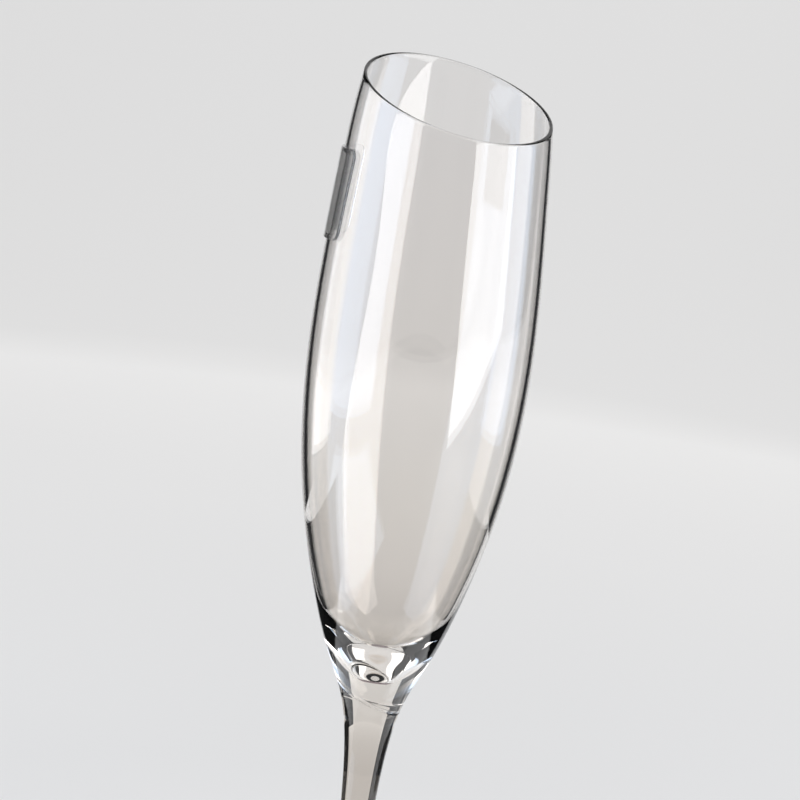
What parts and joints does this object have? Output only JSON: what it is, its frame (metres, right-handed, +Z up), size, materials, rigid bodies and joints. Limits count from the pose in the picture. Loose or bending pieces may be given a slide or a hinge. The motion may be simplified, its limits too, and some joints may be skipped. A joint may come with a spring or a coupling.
{
  "type": "champagne flute",
  "caption": "Tall clear drinking flute on a slim stem and round foot, with a slanted rim and a small clear label stuck on the bowl.",
  "frame": {"origin": "on the axis of the glass, in the plane the foot rests on", "axes": "+Z up along the axis of the glass, -Y towards the lowest point of the slanted rim, the label on the -X side turned a little to the back"},
  "size_m": [0.068, 0.068, 0.2396],
  "materials": {
    "clear_glass": "clear, fire-polished",
    "label_print": "plain grey printed panel, no lettering",
    "label_film": "clear glossy film"
  },
  "bodies": {
    "root": {"bowl": "clear_glass", "stem": "clear_glass", "foot": "clear_glass", "label_print": "label_print", "label_film": "label_film"}
  },
  "joints": []
}
